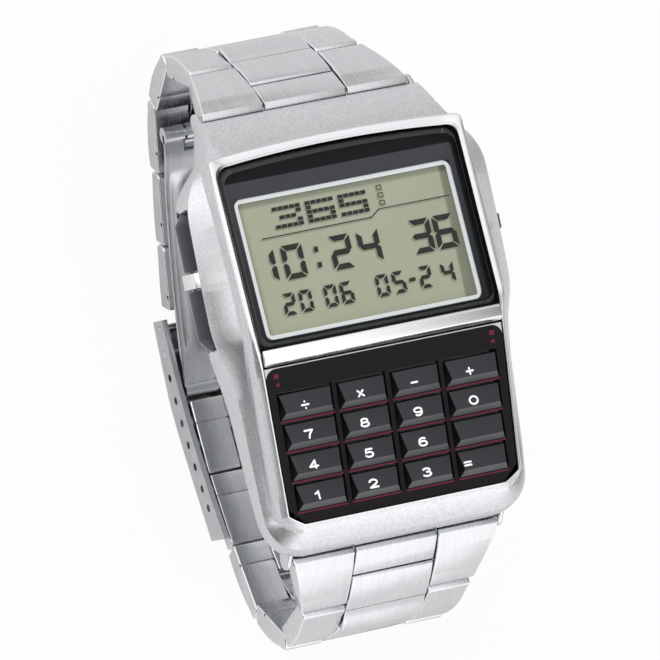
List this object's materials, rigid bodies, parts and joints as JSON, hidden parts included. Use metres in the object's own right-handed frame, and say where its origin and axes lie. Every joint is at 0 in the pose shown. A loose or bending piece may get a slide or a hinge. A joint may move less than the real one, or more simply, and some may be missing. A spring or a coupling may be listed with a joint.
{
  "type": "calculator watch",
  "caption": "Calculator watch with a sloping digital display, a pad of raised keys, side buttons and a steel link bracelet closed by a folding clasp.",
  "frame": {"origin": "centre of the lowest plane of the closed bracelet, the flat of the clasp cover that the watch stands on", "axes": "+Z out of the dial, +Y to 12 o'clock, +X to 3 o'clock"},
  "size_m": [0.037, 0.0674, 0.0436],
  "materials": {
    "case_silver": "fine metallic satin",
    "polished_steel": "mirror polish",
    "brushed_link": "lengthwise brushing with polished bevels",
    "clasp_steel": "brushed sheet",
    "clear_glass": "polished",
    "black_print": "gloss print with a charcoal band",
    "rim_silver": "satin",
    "lcd": "grey-green reflective display",
    "backlight": "matt sheet",
    "keypad_black": "satin with dark red lines",
    "key_charcoal": "matt moulded",
    "rubber_grey": "matt",
    "board_green": "solder mask",
    "resin_black": "matt",
    "housing_white": "matt moulded",
    "cell_steel": "satin",
    "brass_disc": "satin",
    "button_dark": "dark grey satin"
  },
  "bodies": {
    "watch_case": {"case": "case_silver", "crystal": "clear_glass", "glass_mask": "black_print", "lcd_frame": "rim_silver", "lcd_panel": "lcd", "backlight_panel": "backlight", "lcd_connectors": "rubber_grey", "display_board": "board_green", "centre_bar": "polished_steel", "keypad_panel": "keypad_black", "keypad_membrane": "rubber_grey", "keypad_board": "board_green", "control_chip": "resin_black", "module_housing": "housing_white", "battery": "cell_steel", "battery_clip": "cell_steel", "buzzer_disc": "brass_disc", "case_back": "clasp_steel", "case_gasket": "resin_black", "case_back_screws": "polished_steel", "button_spacers": "polished_steel", "lug_spring_bars": "polished_steel"},
    "key_a1_body": {"key_a1": "key_charcoal"},
    "key_b1_body": {"key_b1": "key_charcoal"},
    "key_c1_body": {"key_c1": "key_charcoal"},
    "key_d1_body": {"key_d1": "key_charcoal"},
    "key_a2_body": {"key_a2": "key_charcoal"},
    "key_b2_body": {"key_b2": "key_charcoal"},
    "key_c2_body": {"key_c2": "key_charcoal"},
    "key_d2_body": {"key_d2": "key_charcoal"},
    "key_a3_body": {"key_a3": "key_charcoal"},
    "key_b3_body": {"key_b3": "key_charcoal"},
    "key_c3_body": {"key_c3": "key_charcoal"},
    "key_d3_body": {"key_d3": "key_charcoal"},
    "key_a4_body": {"key_a4": "key_charcoal"},
    "key_b4_body": {"key_b4": "key_charcoal"},
    "key_c4_body": {"key_c4": "key_charcoal"},
    "key_d4_body": {"key_d4": "key_charcoal"},
    "button_upper_left_body": {"button_upper_left": "button_dark"},
    "button_lower_left_body": {"button_lower_left": "button_dark"},
    "button_upper_right_body": {"button_upper_right": "button_dark"},
    "button_lower_right_body": {"button_lower_right": "button_dark"},
    "upper_body_1": {"upper_link_1": "brushed_link"},
    "upper_body_2": {"upper_link_2": "brushed_link"},
    "upper_body_3": {"upper_link_3": "brushed_link"},
    "upper_body_4": {"upper_link_4": "brushed_link"},
    "upper_body_5": {"upper_link_5": "brushed_link"},
    "upper_body_6": {"upper_link_6": "brushed_link"},
    "lower_body_1": {"lower_link_1": "brushed_link"},
    "lower_body_2": {"lower_link_2": "brushed_link"},
    "lower_body_3": {"lower_link_3": "brushed_link"},
    "lower_body_4": {"lower_link_4": "brushed_link"},
    "lower_body_5": {"lower_link_5": "brushed_link"},
    "lower_body_6": {"lower_link_6": "brushed_link"},
    "cover_body": {"clasp_cover": "clasp_steel", "clasp_bars": "polished_steel"},
    "inner_leaf_body": {"leaf_inner": "clasp_steel", "leaf_pins": "polished_steel"},
    "middle_leaf_body": {"leaf_middle": "clasp_steel"}
  },
  "joints": [
    {"name": "key_a1_press", "type": "slide", "parent": "watch_case", "child": "key_a1_body", "axis": [0, 0.158, -0.9874], "range_m": [0, 0.0004], "stiffness_N_per_m": 2500, "springref_m": -0.0001},
    {"name": "key_b1_press", "type": "slide", "parent": "watch_case", "child": "key_b1_body", "axis": [0, 0.158, -0.9874], "range_m": [0, 0.0004], "stiffness_N_per_m": 2500, "springref_m": -0.0001},
    {"name": "key_c1_press", "type": "slide", "parent": "watch_case", "child": "key_c1_body", "axis": [0, 0.158, -0.9874], "range_m": [0, 0.0004], "stiffness_N_per_m": 2500, "springref_m": -0.0001},
    {"name": "key_d1_press", "type": "slide", "parent": "watch_case", "child": "key_d1_body", "axis": [0, 0.158, -0.9874], "range_m": [0, 0.0004], "stiffness_N_per_m": 2500, "springref_m": -0.0001},
    {"name": "key_a2_press", "type": "slide", "parent": "watch_case", "child": "key_a2_body", "axis": [0, 0.158, -0.9874], "range_m": [0, 0.0004], "stiffness_N_per_m": 2500, "springref_m": -0.0001},
    {"name": "key_b2_press", "type": "slide", "parent": "watch_case", "child": "key_b2_body", "axis": [0, 0.158, -0.9874], "range_m": [0, 0.0004], "stiffness_N_per_m": 2500, "springref_m": -0.0001},
    {"name": "key_c2_press", "type": "slide", "parent": "watch_case", "child": "key_c2_body", "axis": [0, 0.158, -0.9874], "range_m": [0, 0.0004], "stiffness_N_per_m": 2500, "springref_m": -0.0001},
    {"name": "key_d2_press", "type": "slide", "parent": "watch_case", "child": "key_d2_body", "axis": [0, 0.158, -0.9874], "range_m": [0, 0.0004], "stiffness_N_per_m": 2500, "springref_m": -0.0001},
    {"name": "key_a3_press", "type": "slide", "parent": "watch_case", "child": "key_a3_body", "axis": [0, 0.158, -0.9874], "range_m": [0, 0.0004], "stiffness_N_per_m": 2500, "springref_m": -0.0001},
    {"name": "key_b3_press", "type": "slide", "parent": "watch_case", "child": "key_b3_body", "axis": [0, 0.158, -0.9874], "range_m": [0, 0.0004], "stiffness_N_per_m": 2500, "springref_m": -0.0001},
    {"name": "key_c3_press", "type": "slide", "parent": "watch_case", "child": "key_c3_body", "axis": [0, 0.158, -0.9874], "range_m": [0, 0.0004], "stiffness_N_per_m": 2500, "springref_m": -0.0001},
    {"name": "key_d3_press", "type": "slide", "parent": "watch_case", "child": "key_d3_body", "axis": [0, 0.158, -0.9874], "range_m": [0, 0.0004], "stiffness_N_per_m": 2500, "springref_m": -0.0001},
    {"name": "key_a4_press", "type": "slide", "parent": "watch_case", "child": "key_a4_body", "axis": [0, 0.158, -0.9874], "range_m": [0, 0.0004], "stiffness_N_per_m": 2500, "springref_m": -0.0001},
    {"name": "key_b4_press", "type": "slide", "parent": "watch_case", "child": "key_b4_body", "axis": [0, 0.158, -0.9874], "range_m": [0, 0.0004], "stiffness_N_per_m": 2500, "springref_m": -0.0001},
    {"name": "key_c4_press", "type": "slide", "parent": "watch_case", "child": "key_c4_body", "axis": [0, 0.158, -0.9874], "range_m": [0, 0.0004], "stiffness_N_per_m": 2500, "springref_m": -0.0001},
    {"name": "key_d4_press", "type": "slide", "parent": "watch_case", "child": "key_d4_body", "axis": [0, 0.158, -0.9874], "range_m": [0, 0.0004], "stiffness_N_per_m": 2500, "springref_m": -0.0001},
    {"name": "button_upper_left_press", "type": "slide", "parent": "watch_case", "child": "button_upper_left_body", "axis": [1, 0, 0], "range_m": [0, 0.0004], "stiffness_N_per_m": 4000, "springref_m": -0.0001},
    {"name": "button_lower_left_press", "type": "slide", "parent": "watch_case", "child": "button_lower_left_body", "axis": [1, 0, 0], "range_m": [0, 0.0004], "stiffness_N_per_m": 4000, "springref_m": -0.0001},
    {"name": "button_upper_right_press", "type": "slide", "parent": "watch_case", "child": "button_upper_right_body", "axis": [-1, 0, 0], "range_m": [0, 0.0004], "stiffness_N_per_m": 4000, "springref_m": -0.0001},
    {"name": "button_lower_right_press", "type": "slide", "parent": "watch_case", "child": "button_lower_right_body", "axis": [-1, 0, 0], "range_m": [0, 0.0004], "stiffness_N_per_m": 4000, "springref_m": -0.0001},
    {"name": "upper_hinge_1", "type": "hinge", "parent": "watch_case", "child": "upper_body_1", "pos_m": [0, 0.02491, 0.0336], "axis": [1, 0, 0], "range_deg": [0, 24.31]},
    {"name": "upper_hinge_2", "type": "hinge", "parent": "upper_body_1", "child": "upper_body_2", "pos_m": [0, 0.03039, 0.02659], "axis": [1, 0, 0], "range_deg": [0, 20.85]},
    {"name": "upper_hinge_3", "type": "hinge", "parent": "upper_body_2", "child": "upper_body_3", "pos_m": [0, 0.03258, 0.01827], "axis": [1, 0, 0], "range_deg": [0, 6.88]},
    {"name": "upper_hinge_4", "type": "hinge", "parent": "upper_body_3", "child": "upper_body_4", "pos_m": [0, 0.02801, 0.01099], "axis": [1, 0, 0], "range_deg": [0, 10.33]},
    {"name": "upper_hinge_5", "type": "hinge", "parent": "upper_body_4", "child": "upper_body_5", "pos_m": [0, 0.02024, 0.00731], "axis": [1, 0, 0], "range_deg": [0, 17.22]},
    {"name": "upper_hinge_6", "type": "hinge", "parent": "upper_body_5", "child": "upper_body_6", "pos_m": [0, 0.01218, 0.00429], "axis": [1, 0, 0], "range_deg": [0, 15.31]},
    {"name": "cover_hinge", "type": "hinge", "parent": "upper_body_6", "child": "cover_body", "pos_m": [0, 0.00399, 0.00169], "axis": [1, 0, 0], "range_deg": [-66.42, 0]},
    {"name": "lower_hinge_1", "type": "hinge", "parent": "watch_case", "child": "lower_body_1", "pos_m": [0, -0.02369, 0.0336], "axis": [1, 0, 0], "range_deg": [0, 19.64]},
    {"name": "lower_hinge_2", "type": "hinge", "parent": "lower_body_1", "child": "lower_body_2", "pos_m": [0, -0.03003, 0.02735], "axis": [1, 0, 0], "range_deg": [0, 6.5]},
    {"name": "lower_hinge_3", "type": "hinge", "parent": "lower_body_2", "child": "lower_body_3", "pos_m": [0, -0.03258, 0.01882], "axis": [1, 0, 0], "range_deg": [-4.64, 0]},
    {"name": "lower_hinge_4", "type": "hinge", "parent": "lower_body_3", "child": "lower_body_4", "pos_m": [0, -0.0285, 0.01091], "axis": [1, 0, 0], "range_deg": [-5.99, 0]},
    {"name": "lower_hinge_5", "type": "hinge", "parent": "lower_body_4", "child": "lower_body_5", "pos_m": [0, -0.02053, 0.00695], "axis": [1, 0, 0], "range_deg": [-3.67, 0]},
    {"name": "lower_hinge_6", "type": "hinge", "parent": "lower_body_5", "child": "lower_body_6", "pos_m": [0, -0.01205, 0.00426], "axis": [1, 0, 0], "range_deg": [-2.97, 0]},
    {"name": "inner_leaf_hinge", "type": "hinge", "parent": "lower_body_6", "child": "inner_leaf_body", "pos_m": [0, -0.00325, 0.00291], "axis": [1, 0, 0], "range_deg": [-14.68, 0]},
    {"name": "clasp_fold", "type": "hinge", "parent": "inner_leaf_body", "child": "middle_leaf_body", "pos_m": [0, 0.02501, 0.0128], "axis": [1, 0, 0], "range_deg": [0, 90]}
  ],
  "couplings": [
    {"joint": "upper_hinge_1", "follows": "clasp_fold", "ratio": 0.26955},
    {"joint": "upper_hinge_2", "follows": "clasp_fold", "ratio": 0.23114},
    {"joint": "upper_hinge_3", "follows": "clasp_fold", "ratio": 0.07585},
    {"joint": "upper_hinge_4", "follows": "clasp_fold", "ratio": 0.11423},
    {"joint": "upper_hinge_5", "follows": "clasp_fold", "ratio": 0.19075},
    {"joint": "upper_hinge_6", "follows": "clasp_fold", "ratio": 0.16952},
    {"joint": "cover_hinge", "follows": "clasp_fold", "ratio": -0.73749},
    {"joint": "lower_hinge_1", "follows": "clasp_fold", "ratio": 0.2177},
    {"joint": "lower_hinge_2", "follows": "clasp_fold", "ratio": 0.07172},
    {"joint": "lower_hinge_3", "follows": "clasp_fold", "ratio": -0.05102},
    {"joint": "lower_hinge_4", "follows": "clasp_fold", "ratio": -0.06597},
    {"joint": "lower_hinge_5", "follows": "clasp_fold", "ratio": -0.04018},
    {"joint": "lower_hinge_6", "follows": "clasp_fold", "ratio": -0.03248},
    {"joint": "inner_leaf_hinge", "follows": "clasp_fold", "ratio": -0.16261}
  ]
}
